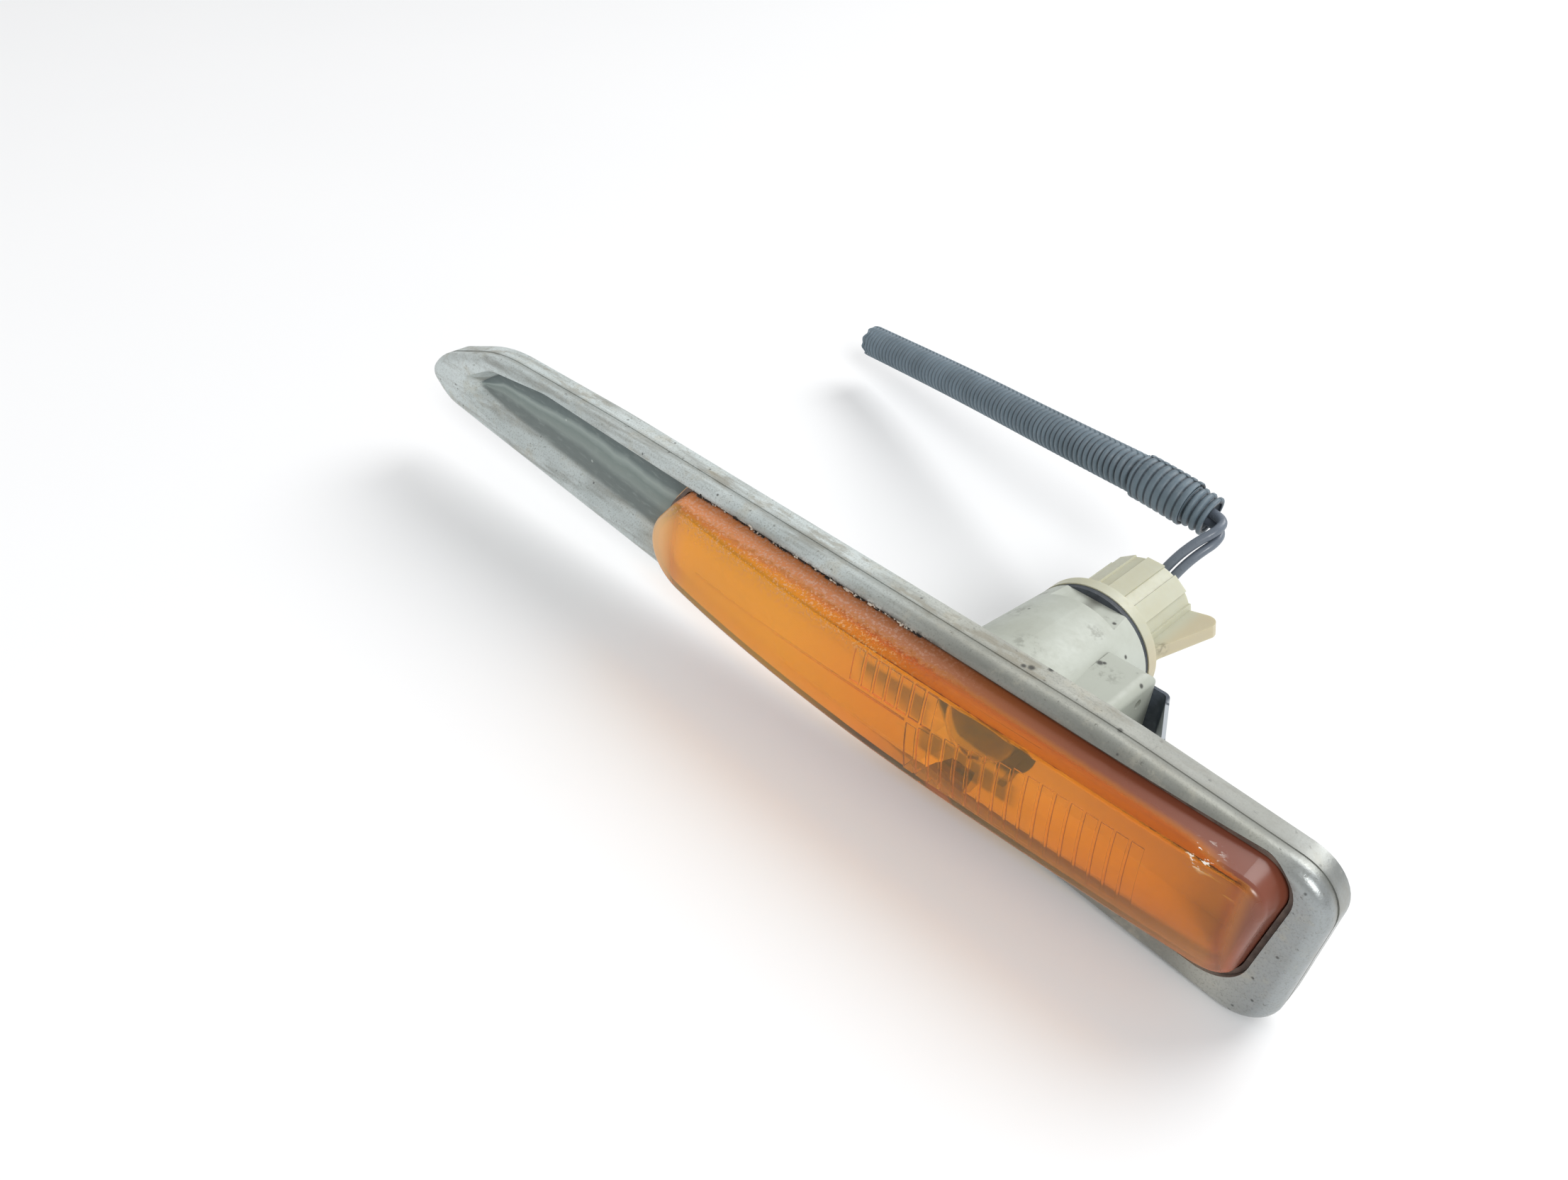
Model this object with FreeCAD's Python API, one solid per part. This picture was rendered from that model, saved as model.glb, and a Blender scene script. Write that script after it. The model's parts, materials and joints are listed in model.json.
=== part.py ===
import FreeCAD, Part
import math
import os

from FreeCAD import Vector

# Vehicle indicator lamp, in millimetres. X runs along the lamp from its narrow
# nose to its wide end, Y runs back into the vehicle and Z is up. The origin is
# on the plane where the bezel's rim sits on the panel, at the bulb's height.

# Bezel
NOSE_X = -146.2
END_X = 138.0
BEZEL_DEPTH = 9.0
BEZEL_EDGE_R = 3.0
BEZEL_FACE = 2.4
BEZEL_WALL = 1.2
BEAD_BACK = 4.4
BEAD_WIDTH = 0.9
BEAD_DEPTH = 0.2
GROOVE_DEPTH = 4.0

# Lens
LENS_WALL = 2.4
LENS_DRAFT = 1.6
LENS_CROWN = 2.0
LENS_EDGE_R = 2.0
LENS_FLANGE = 1.7
LENS_FLANGE_T = 2.0
FLUTE_PITCH = 3.25
FLUTE_RIB = 0.6
FLUTE_DEPTH = 0.5
FLUTE_COUNT = 17
FLUTE_FROM_X = 51.0
FLUTE_LOW_Z = -9.4
FLUTE_TOP_NEAR = 4.6
FLUTE_TOP_FAR = 10.4
UPPER_FLUTE_COUNT = 7
UPPER_FLUTE_FROM_X = 35.0
UPPER_FLUTE_LOW_Z = 6.2
UPPER_FLUTE_TOP_Z = 14.6
CREASE_FROM_X = -16.0
CREASE_Z = 5.2
CREASE_WIDTH = 0.5

# Seal round the lens
SEAL_WIDTH = 1.0
SEAL_SINK = 0.9
FIT = 0.1

# Housing
TUB_WALL = 2.0
TUB_FLANGE = 2.0
TUB_DEPTH = 7.0
TUB_INSET = 0.8
POCKET_GAP = 0.4
REFLECTOR_GAP = 0.5
REFLECTOR_WALL = 1.0
REFLECTOR_SETBACK = 2.5
BULB_X = 60.0
CHIMNEY_ROOT_R = 18.4
CHIMNEY_END_R = 16.0
CHIMNEY_BORE_R = 13.4
CHIMNEY_END_Y = 36.2
CHIMNEY_FLAT_Z = 14.0
CHIMNEY_FLAT_LEN = 6.0
CHIMNEY_BASE_Z = -11.6
PANEL_DEPTH = 6.0
THIN_WALL = 0.8
BOSS_X = 71.5
BOSS_LEN = 11.0
BOSS_END_Y = 26.0
BOSS_LOW_Z = -6.0
BOSS_TOP_Z = 13.0
BOSS_EDGE_R = 2.5
BOSS_HOLE_R = 1.2

# Bulb holder
HOLDER_SEAL_T = 1.4
HOLDER_SEAL_INSET = 0.3
FLANGE_R = 16.0
FLANGE_T = 4.4
FLANGE_CHAMFER = 1.4
NOSE_R = 11.4
NOSE_LEN = 13.0
BARREL_R = 12.0
BARREL_LEN = 20.3
RIB_COUNT = 10
RIB_RISE = 0.35
RIB_WIDTH = 4.6
WING_REACH = 8.4
WING_T = 3.0
WING_TILT = 15.0
WING_TIP_R = 4.0
WING_SINK = 0.5
WING_SHORT = 0.6
WIRE_BAY_R = 6.0
WIRE_BAY_LEN = 12.0
PLUG_LEN = 7.0

# Bulb
CAP_R = 7.5
CAP_LEN = 17.0
CAP_WALL = 0.4
CAP_SINK = 1.0
GLOBE_R = 9.3
GLASS_WALL = 0.7
NECK_R = 6.9
GLASS_LEN = 34.0
STEM_R = 2.6
STEM_LEN = 12.0
SUPPORT_R = 0.35
SUPPORT_GAP = 5.0
SUPPORT_LEN = 12.0
SUPPORT_KNEE = 3.0
SUPPORT_BEND_R = 1.5
FILAMENT_R = 0.5
CONTACT_R = 2.6
CONTACT_RISE = 1.2
TERMINAL_T = 0.6
TERMINAL_W = 4.0

# Spring clip, a bent strip
CLIP_T = 0.8
CLIP_WIDTH = 12.0
CLIP_TANG = 12.0
CLIP_WEB = 8.8
CLIP_LEAF = 23.0
CLIP_SPLAY = 27.0
CLIP_BEND_R = 1.6
CLIP_TOP_Z = 9.0

# Lead: two wires in a conduit
WIRE_D = 2.4
WIRE_SPREAD = 2.8
CONDUIT_D = 10.6
CONDUIT_WALL = 2.3
WRAP_WALL = 0.7
WRAP_FROM = 6.0
WRAP_LEN = 15.0

# Corners of the outlines seen from the front: x, z, corner radius.
BEZEL_CORNERS = [
    (NOSE_X + 34.2, 22.2, 60.0),
    (NOSE_X + 86.2, 23.4, 400.0),
    (END_X - 48.0, 22.4, 300.0),
    (END_X, 19.2, 10.0),
    (END_X - 2.4, -24.0, 9.5),
    (NOSE_X + 28.2, -4.2, 60.0),
    (NOSE_X + 9.2, -2.6, 14.0),
    (NOSE_X, 4.6, 4.0),
    (NOSE_X + 6.6, 11.8, 22.0),
]
LENS_CORNERS = [
    (-27.5, 19.3, 3.5),
    (END_X - 7.4, 18.2, 7.0),
    (END_X - 11.6, -15.4, 8.0),
    (45.0, -12.4, 500.0),
    (-46.5, -4.4, 12.0),
]
# Front of the lens: x, rise above the bezel's face at its top and lower edge.
LENS_STATIONS = [
    (-62.0, 0.4, 0.2),
    (-28.0, 4.4, 6.4),
    (16.0, 7.2, 8.8),
    (60.0, 7.6, 7.0),
    (END_X - 38.0, 7.2, 3.4),
    (END_X + 4.0, 6.4, -2.4),
]
GROOVE_CORNERS = [
    (NOSE_X + 17.2, 8.6, 4.0),
    (NOSE_X + 35.2, 18.2, 14.0),
    (NOSE_X + 60.2, 21.3, 40.0),
    (-24.5, 20.5, 1.0),
    (-40.0, -5.4, 1.0),
    (NOSE_X + 64.2, -2.6, 60.0),
    (NOSE_X + 25.2, 1.8, 12.0),
]
GROOVE_FLOOR = [
    (NOSE_X + 22.6, 8.0, 1.5),
    (NOSE_X + 35.2, 15.6, 10.0),
    (NOSE_X + 60.2, 20.0, 40.0),
    (-25.4, 19.4, 1.0),
    (-36.5, -0.8, 1.0),
    (NOSE_X + 64.2, 3.5, 60.0),
    (NOSE_X + 36.2, 6.1, 14.0),
]

# The lead's course from the holder's rear: x, y, z.
LEAD_POINTS = [
    (60.8, 67.8, 5.2),
    (62.6, 70.4, 10.2),
    (64.6, 73.2, 13.8),
    (66.6, 76.6, 16.2),
    (66.2, 80.4, 17.2),
]
CONDUIT_POINTS = [
    (61.8, 82.8, 16.8),
    (46.0, 82.6, 19.0),
    (26.0, 88.4, 15.8),
    (0.0, 98.6, 10.0),
    (-30.0, 109.8, 3.9),
    (-62.0, 121.8, -3.2),
    (-88.6, 129.2, -7.7),
]

FACE_Y = -BEZEL_DEPTH
AXIS = Vector(0, 1, 0)


def shifted(corners, grow):
    """Corners of the same outline, moved outward by grow."""
    count = len(corners)
    moved = []
    for i in range(count):
        ax, az, _ = corners[i - 1]
        bx, bz, radius = corners[i]
        cx, cz, _ = corners[(i + 1) % count]
        u = Vector(bx - ax, 0, bz - az).normalize()
        v = Vector(cx - bx, 0, cz - bz).normalize()
        turn = u.z * v.x - u.x * v.z
        along = (1.0 - u.dot(v)) / turn
        out = Vector(-u.z, 0, u.x)
        x = bx + grow * (out.x + along * u.x)
        z = bz + grow * (out.z + along * u.z)
        moved.append((x, z, max(radius + math.copysign(1.0, turn) * grow, 0.3)))
    return moved


def rounded_wire(corners, y):
    """Closed outline of straight edges with tangent arcs at its corners."""
    count = len(corners)
    arcs = []
    for i in range(count):
        ax, az, _ = corners[i - 1]
        bx, bz, radius = corners[i]
        cx, cz, _ = corners[(i + 1) % count]
        corner = Vector(bx, y, bz)
        u = (Vector(ax, y, az) - corner).normalize()
        v = (Vector(cx, y, cz) - corner).normalize()
        half = math.acos(u.dot(v)) / 2.0
        middle = (u + v).normalize()
        centre = corner + middle * (radius / math.sin(half))
        reach = radius / math.tan(half)
        arcs.append((corner + u * reach, centre - middle * radius, corner + v * reach))
    edges = []
    for i in range(count):
        start, mid, end = arcs[i]
        edges.append(Part.Arc(start, mid, end).toShape())
        edges.append(Part.makeLine(end, arcs[(i + 1) % count][0]))
    return Part.Wire(edges)


def slab(corners, y_from, y_to):
    """Flat plate of an outline between two depths."""
    face = Part.Face(rounded_wire(corners, y_from))
    return face.extrude(Vector(0, y_to - y_from, 0))


def behind_face(grow, spare, y_from, y_to):
    """Plate of the lens outline, grown but kept inside the bezel's wall."""
    plate = slab(shifted(LENS_CORNERS, grow), y_from, y_to)
    return plate.common(slab(shifted(BEZEL_CORNERS, -BEZEL_WALL - spare), y_from, y_to))


def round_bar(radius, y_from, y_to, x=BULB_X, z=0.0):
    """Cylinder along the lamp's depth."""
    return Part.makeCylinder(radius, y_to - y_from, Vector(x, y_from, z), AXIS)


def block(x_from, x_to, y_from, y_to, z_from, z_to):
    """Plain box between limits."""
    size = (x_to - x_from, y_to - y_from, z_to - z_from)
    return Part.makeBox(*size, Vector(x_from, y_from, z_from))


def turned(points):
    """Solid turned about the bulb's axis from radius, depth points."""
    path = [Vector(BULB_X + r, y, 0) for r, y in points]
    face = Part.Face(Part.makePolygon(path + path[:1]))
    return face.revolve(Vector(BULB_X, 0, 0), AXIS, 360)


def bent_path(points, radii=None):
    """Wire of straight runs and tangent arcs, with the arcs' radii."""
    knots = [Vector(*p) for p in points]
    edges = []
    used = []
    start = knots[0]
    for i in range(1, len(knots) - 1):
        back = knots[i - 1] - knots[i]
        ahead = knots[i + 1] - knots[i]
        turn = math.pi - back.getAngle(ahead)
        shorter = min(back.Length, ahead.Length)
        radius = radii[i - 1] if radii else 0.45 * shorter / math.tan(turn / 2)
        reach = radius * math.tan(turn / 2)
        back.normalize()
        ahead.normalize()
        enter = knots[i] + back * reach
        leave = knots[i] + ahead * reach
        inward = (back + ahead).normalize()
        mid = knots[i] + inward * (radius / math.cos(turn / 2) - radius)
        edges.append(Part.makeLine(start, enter))
        edges.append(Part.Arc(enter, mid, leave).toShape())
        used.append(radius)
        start = leave
    edges.append(Part.makeLine(start, knots[-1]))
    return Part.Wire(edges), used


def tube(path, radius):
    """Round bar along a path."""
    first = path.Edges[0]
    start = first.valueAt(first.FirstParameter)
    heading = first.tangentAt(first.FirstParameter)
    ring = Part.Wire(Part.makeCircle(radius, start, heading))
    return path.makePipeShell([ring], True, True)


# Bezel: frame with a lens opening, a pocket behind it and a blind groove.
opening = shifted(LENS_CORNERS, SEAL_WIDTH + 2 * FIT)
bezel = slab(BEZEL_CORNERS, FACE_Y, 0)
front_rim = [e for e in bezel.Edges if abs(e.BoundBox.YMax - FACE_Y) < 1e-6]
bezel = bezel.makeFillet(BEZEL_EDGE_R, front_rim)
bezel = bezel.cut(slab(opening, FACE_Y - 1, 0))
bezel = bezel.cut(behind_face(LENS_FLANGE + POCKET_GAP, 0, FACE_Y + BEZEL_FACE, 1))
groove_lip = rounded_wire(GROOVE_CORNERS, FACE_Y)
groove_floor = rounded_wire(GROOVE_FLOOR, FACE_Y + GROOVE_DEPTH)
bezel = bezel.cut(Part.makeLoft([groove_lip, groove_floor], True, True))
bead_y = -BEAD_BACK
bead = slab(shifted(BEZEL_CORNERS, 1.0), bead_y - BEAD_WIDTH, bead_y)
bead = bead.cut(slab(shifted(BEZEL_CORNERS, -BEAD_DEPTH), bead_y - BEAD_WIDTH, bead_y))
bezel = bezel.cut(bead)

# Lens: drafted walls closed by a bulged front, hollow behind, with a flange.
CLEAR = 10.0
lens_back = FACE_Y + BEZEL_FACE
lens_front = FACE_Y - LENS_CROWN - max(max(top, low) for _, top, low in LENS_STATIONS)
lens_top_z = LENS_CORNERS[0][1]
low_from_x, low_from_z, _ = LENS_CORNERS[-1]
low_to_x, low_to_z, _ = LENS_CORNERS[2]
low_slope = (low_to_z - low_from_z) / (low_to_x - low_from_x)


def front_section(station, inset):
    """Closed section of the bulge at one station, set in by inset."""
    x, top_rise, low_rise = station
    low_z = low_from_z + low_slope * (x - low_from_x)
    front = []
    for part_way in (-0.2, 0.5, 1.2):
        rise = low_rise + (top_rise - low_rise) * part_way
        rise += 4 * LENS_CROWN * part_way * (1 - part_way)
        z = low_z + (lens_top_z - low_z) * part_way
        front.append(Vector(x, FACE_Y - rise + inset, z))
    back = [Vector(x, CLEAR, p.z) for p in (front[2], front[0])]
    return Part.Wire([
        Part.Arc(*front).toShape(),
        Part.makeLine(front[2], back[0]),
        Part.makeLine(back[0], back[1]),
        Part.makeLine(back[1], front[0]),
    ])


def bulge(inset):
    """Body under the bulged front of the lens, set in by inset."""
    return Part.makeLoft([front_section(s, inset) for s in LENS_STATIONS], True, False)


def drafted(grow, y_from, y_to):
    """Lens plug whose walls draw in towards the front."""
    draft = LENS_DRAFT * (y_from - y_to) / (lens_back - lens_front)
    rear = rounded_wire(shifted(LENS_CORNERS, grow), y_from)
    front = rounded_wire(shifted(LENS_CORNERS, grow - draft), y_to)
    return Part.makeLoft([rear, front], True, True)


lens = drafted(0, lens_back, lens_front - 1).common(bulge(0))
front_face = max(lens.Faces, key=lambda f: f.Area if f.CenterOfMass.y < FACE_Y else 0)
lens = lens.makeFillet(LENS_EDGE_R, front_face.OuterWire.Edges)
hollow = drafted(-LENS_WALL, lens_back + LENS_FLANGE_T, lens_front - 1).common(bulge(LENS_WALL))
flange = behind_face(LENS_FLANGE, POCKET_GAP, lens_back, lens_back + LENS_FLANGE_T)
lens = lens.fuse(flange).cut(hollow)

# Flutes: upright channels between thin ribs, and a crease, inside the lens.
channels = []
for i in range(FLUTE_COUNT):
    x = FLUTE_FROM_X + i * FLUTE_PITCH
    top = FLUTE_TOP_NEAR + (FLUTE_TOP_FAR - FLUTE_TOP_NEAR) * min(2.0 * i / FLUTE_COUNT, 1.0)
    channels.append((x, x + FLUTE_PITCH - FLUTE_RIB, FLUTE_LOW_Z, top))
for i in range(UPPER_FLUTE_COUNT):
    x = UPPER_FLUTE_FROM_X + i * FLUTE_PITCH
    channels.append((x, x + FLUTE_PITCH - FLUTE_RIB, UPPER_FLUTE_LOW_Z, UPPER_FLUTE_TOP_Z))
crease_to_x = FLUTE_FROM_X - FLUTE_RIB
channels.append((CREASE_FROM_X, crease_to_x, CREASE_Z - CREASE_WIDTH, CREASE_Z))
blocks = [block(x, x_to, lens_front, FACE_Y, z, z_to) for x, x_to, z, z_to in channels]
deeper = bulge(LENS_WALL - FLUTE_DEPTH)
for bar in blocks:
    lens = lens.cut(bar.common(deeper))

# Seal: ring in the gap between lens and bezel.
lens_seal = slab(shifted(LENS_CORNERS, SEAL_WIDTH + FIT), FACE_Y + SEAL_SINK, lens_back)
lens_seal = lens_seal.cut(slab(shifted(LENS_CORNERS, FIT), FACE_Y, lens_back))

# Housing: tub behind the lens, chimney for the bulb, boss for the clip.
tub_front = lens_back + LENS_FLANGE_T
tub_back = tub_front + TUB_DEPTH
housing = behind_face(LENS_FLANGE, POCKET_GAP, tub_front, tub_front + TUB_FLANGE)
housing = housing.fuse(slab(shifted(LENS_CORNERS, -TUB_INSET), tub_front, tub_back))
chimney_root = tub_back - TUB_WALL
chimney = Part.makeCone(
    CHIMNEY_ROOT_R,
    CHIMNEY_END_R,
    CHIMNEY_END_Y - chimney_root,
    Vector(BULB_X, chimney_root, 0),
    AXIS,
)
wide = 2 * CHIMNEY_ROOT_R
chimney = chimney.cut(block(
    BULB_X - wide, BULB_X + wide,
    CHIMNEY_END_Y - CHIMNEY_FLAT_LEN, CHIMNEY_END_Y,
    CHIMNEY_FLAT_Z, wide,
))
chimney = chimney.cut(block(
    BULB_X - wide, BULB_X + wide,
    chimney_root, CHIMNEY_END_Y,
    -wide, CHIMNEY_BASE_Z - TUB_WALL,
))
chimney_foot = slab(shifted(LENS_CORNERS, LENS_FLANGE), chimney_root, PANEL_DEPTH)
chimney_tail = block(
    BULB_X - wide, BULB_X + wide,
    PANEL_DEPTH, CHIMNEY_END_Y,
    -wide, wide,
)
chimney = chimney.common(chimney_foot.fuse(chimney_tail))
boss = block(BOSS_X, BOSS_X + BOSS_LEN, chimney_root, BOSS_END_Y, BOSS_LOW_Z, BOSS_TOP_Z)
boss_edges = [
    e for e in boss.Edges
    if abs(e.BoundBox.ZMin - BOSS_TOP_Z) < 1e-6 and e.BoundBox.XMax > BOSS_X + 1e-6
    and e.BoundBox.YMax > chimney_root + 1e-6
]
boss = boss.makeFillet(BOSS_EDGE_R, boss_edges)
# The tub's walls go on inside the lens as a thin reflector, clear of the bulb.
reflector_out = LENS_WALL + REFLECTOR_GAP
reflector_in = reflector_out + REFLECTOR_WALL
reflector = drafted(-reflector_out, tub_front + REFLECTOR_WALL, lens_front)
reflector = reflector.common(bulge(LENS_WALL + REFLECTOR_SETBACK))
housing = housing.fuse([chimney, boss, reflector])
housing = housing.cut(drafted(-reflector_in, tub_front + REFLECTOR_WALL, lens_front))
housing = housing.cut(slab(shifted(LENS_CORNERS, -reflector_in), tub_front, tub_back - TUB_WALL))
housing = housing.cut(round_bar(GLOBE_R + 2 * REFLECTOR_GAP, lens_front, tub_front))
nose_y = CHIMNEY_END_Y + HOLDER_SEAL_T - NOSE_LEN - FIT
bore_floor = slab(shifted(LENS_CORNERS, -TUB_INSET - THIN_WALL), tub_front, nose_y)
bore_floor = bore_floor.fuse(block(
    BULB_X - wide, BULB_X + wide,
    nose_y, CHIMNEY_END_Y + 1,
    CHIMNEY_BASE_Z, wide,
))
bore = round_bar(CHIMNEY_BORE_R, tub_front, CHIMNEY_END_Y + 1)
housing = housing.cut(bore.common(bore_floor))

# Spring clip: tang in a slot of the boss, web behind it, leaf splayed forward.
tang_x = BOSS_X + BOSS_LEN / 2
web_y = BOSS_END_Y + CLIP_T / 2
clip_z = CLIP_TOP_Z - CLIP_WIDTH
lean = math.radians(CLIP_SPLAY)
web_end = tang_x + CLIP_WEB
clip_path, _ = bent_path(
    [
        (tang_x, web_y - CLIP_TANG, clip_z),
        (tang_x, web_y, clip_z),
        (web_end, web_y, clip_z),
        (web_end + CLIP_LEAF * math.sin(lean), web_y - CLIP_LEAF * math.cos(lean), clip_z),
    ],
    [CLIP_BEND_R, CLIP_BEND_R],
)
strip = Part.makePolygon([
    Vector(tang_x - CLIP_T / 2, web_y - CLIP_TANG, clip_z),
    Vector(tang_x + CLIP_T / 2, web_y - CLIP_TANG, clip_z),
    Vector(tang_x + CLIP_T / 2, web_y - CLIP_TANG, clip_z + CLIP_WIDTH),
    Vector(tang_x - CLIP_T / 2, web_y - CLIP_TANG, clip_z + CLIP_WIDTH),
    Vector(tang_x - CLIP_T / 2, web_y - CLIP_TANG, clip_z),
])
spring_clip = clip_path.makePipeShell([strip], True, True)
slot_side = CLIP_T / 2 + FIT
housing = housing.cut(block(
    tang_x - slot_side, tang_x + slot_side + CLIP_BEND_R,
    web_y - CLIP_TANG - FIT, BOSS_END_Y + 1,
    clip_z - FIT, clip_z + CLIP_WIDTH + FIT,
))
hole_y = BOSS_END_Y - CLIP_TANG / 2
hole_z = BOSS_TOP_Z - 2 * BOSS_EDGE_R
housing = housing.cut(Part.makeCylinder(
    BOSS_HOLE_R,
    BOSS_LEN / 2 - slot_side,
    Vector(BOSS_X + BOSS_LEN, hole_y, hole_z),
    Vector(-1, 0, 0),
))

# Bulb holder: nose in the chimney, flange, ribbed barrel and a thumb wing.
seal_y = CHIMNEY_END_Y
flange_y = seal_y + HOLDER_SEAL_T
barrel_y = flange_y + FLANGE_T
rear_y = barrel_y + BARREL_LEN
nose_y = flange_y - NOSE_LEN
cap_y = nose_y + CAP_SINK
cap_end = cap_y + CAP_LEN
bay_y = rear_y - WIRE_BAY_LEN
holder_seal = round_bar(FLANGE_R - HOLDER_SEAL_INSET, seal_y, flange_y)
holder_seal = holder_seal.cut(round_bar(NOSE_R + FIT, seal_y, flange_y))
bulb_holder = turned([
    (0, nose_y),
    (NOSE_R, nose_y),
    (NOSE_R, flange_y),
    (FLANGE_R, flange_y),
    (FLANGE_R, barrel_y - FLANGE_CHAMFER),
    (FLANGE_R - FLANGE_CHAMFER, barrel_y),
    (BARREL_R, barrel_y),
    (BARREL_R, rear_y),
    (0, rear_y),
])
ribs = []
for i in range(RIB_COUNT):
    rib = block(
        BULB_X, BULB_X + BARREL_R + RIB_RISE,
        barrel_y - WING_SINK, rear_y,
        -RIB_WIDTH / 2, RIB_WIDTH / 2,
    )
    rib.rotate(Vector(BULB_X, 0, 0), AXIS, 360.0 * (i + 0.5) / RIB_COUNT)
    ribs.append(rib)
wing_end = rear_y - WING_SHORT
wing = Part.Face(Part.makePolygon([
    Vector(BULB_X, barrel_y - WING_SINK, -WING_T / 2),
    Vector(BULB_X + FLANGE_R - FLANGE_CHAMFER, barrel_y - WING_SINK, -WING_T / 2),
    Vector(BULB_X + BARREL_R + WING_REACH, wing_end - WING_TIP_R, -WING_T / 2),
    Vector(BULB_X + BARREL_R + WING_REACH, wing_end, -WING_T / 2),
    Vector(BULB_X, wing_end, -WING_T / 2),
    Vector(BULB_X, barrel_y - WING_SINK, -WING_T / 2),
])).extrude(Vector(0, 0, WING_T))
tip_edges = [
    e for e in wing.Edges
    if e.BoundBox.XMin > BULB_X + BARREL_R and e.BoundBox.YMin > wing_end - 0.1
]
wing = wing.makeFillet(WING_TIP_R * 0.9, tip_edges)
wing.rotate(Vector(BULB_X, 0, 0), AXIS, -WING_TILT)
bulb_holder = bulb_holder.fuse(ribs + [wing])
bulb_holder = bulb_holder.cut(round_bar(CAP_R + FIT, nose_y - 1, cap_end + CONTACT_RISE + TERMINAL_T))
bulb_holder = bulb_holder.cut(round_bar(WIRE_BAY_R, bay_y, rear_y + 1))
bulb_holder = bulb_holder.removeSplitter()

# Contacts: a live strip under the bulb's pip, an earth strip along its cap.
floor_y = cap_end + CONTACT_RISE
plug_y = rear_y - PLUG_LEN
terminal_live = block(
    BULB_X - WIRE_SPREAD, BULB_X + CONTACT_R,
    floor_y, floor_y + TERMINAL_T,
    -TERMINAL_W / 2, TERMINAL_W / 2,
)
terminal_live = terminal_live.fuse(block(
    BULB_X - WIRE_SPREAD, BULB_X - WIRE_SPREAD + TERMINAL_T,
    floor_y, plug_y,
    -TERMINAL_W / 2, TERMINAL_W / 2,
)).removeSplitter()
earth_in = BULB_X + CAP_R
earth_slot = block(
    BULB_X + WIRE_SPREAD, earth_in + 2 * FIT + TERMINAL_T,
    cap_y + CAP_LEN / 2 - FIT, plug_y,
    -TERMINAL_W / 2 - FIT, TERMINAL_W / 2 + FIT,
)
terminal_earth = block(
    earth_in + FIT, earth_in + FIT + TERMINAL_T,
    cap_y + CAP_LEN / 2, plug_y - TERMINAL_T,
    -TERMINAL_W / 2, TERMINAL_W / 2,
)
terminal_earth = terminal_earth.fuse(block(
    BULB_X + WIRE_SPREAD, earth_in + FIT + TERMINAL_T,
    plug_y - TERMINAL_T, plug_y,
    -TERMINAL_W / 2, TERMINAL_W / 2,
)).removeSplitter()
bulb_holder = bulb_holder.cut(earth_slot)
bulb_holder = bulb_holder.cut(block(
    BULB_X - WIRE_SPREAD - FIT, BULB_X - WIRE_SPREAD + TERMINAL_T + FIT,
    floor_y, plug_y,
    -TERMINAL_W / 2 - FIT, TERMINAL_W / 2 + FIT,
))

# Bulb: metal cap with insulated pip, glass globe, stem, supports, filament.
bulb_cap = round_bar(CAP_R, cap_y, cap_end)
bulb_cap = bulb_cap.cut(round_bar(CAP_R - CAP_WALL, cap_y - 1, cap_end - CAP_WALL))
bulb_cap = bulb_cap.cut(round_bar(CONTACT_R + CAP_WALL, cap_y, cap_end + 1))
cap_insulator = round_bar(CAP_R - CAP_WALL, cap_end - 3 * CAP_WALL, cap_end - CAP_WALL)
cap_insulator = cap_insulator.fuse(round_bar(CONTACT_R + CAP_WALL, cap_end - 3 * CAP_WALL, cap_end))
cap_insulator = cap_insulator.removeSplitter()
bulb_contact = Part.makeCone(
    CONTACT_R, CONTACT_R * 0.5, CONTACT_RISE, Vector(BULB_X, cap_end, 0), AXIS
)
globe_y = cap_y - GLASS_LEN + GLOBE_R
neck_end = cap_y + CAP_LEN / 3


def glass_body(thin):
    """Globe and neck of the bulb, thinner by thin."""
    body = Part.makeSphere(GLOBE_R - thin, Vector(BULB_X, globe_y, 0))
    return body.fuse(round_bar(NECK_R - thin, globe_y, neck_end))


bulb_glass = glass_body(0).cut(glass_body(GLASS_WALL)).removeSplitter()
stem_y = neck_end - STEM_LEN
bulb_stem = round_bar(STEM_R, stem_y, neck_end)
bulb_stem = bulb_stem.fuse(round_bar(NECK_R - GLASS_WALL, neck_end - 1.0, neck_end))
bulb_stem = bulb_stem.removeSplitter()
tip_y = stem_y - SUPPORT_LEN
supports = []
for side in (-1, 1):
    foot_x = BULB_X + side * STEM_R * 0.5
    tip_x = BULB_X + side * SUPPORT_GAP
    path, _ = bent_path(
        [
            (foot_x, stem_y, 0),
            (foot_x, stem_y - SUPPORT_KNEE, 0),
            (tip_x, stem_y - 2 * SUPPORT_KNEE, 0),
            (tip_x, tip_y, 0),
        ],
        [SUPPORT_BEND_R, SUPPORT_BEND_R],
    )
    supports.append(tube(path, SUPPORT_R))
span = SUPPORT_GAP - SUPPORT_R
bulb_filament = Part.makeCylinder(
    FILAMENT_R, 2 * span, Vector(BULB_X - span, tip_y + FILAMENT_R, 0), Vector(1, 0, 0)
)

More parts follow.
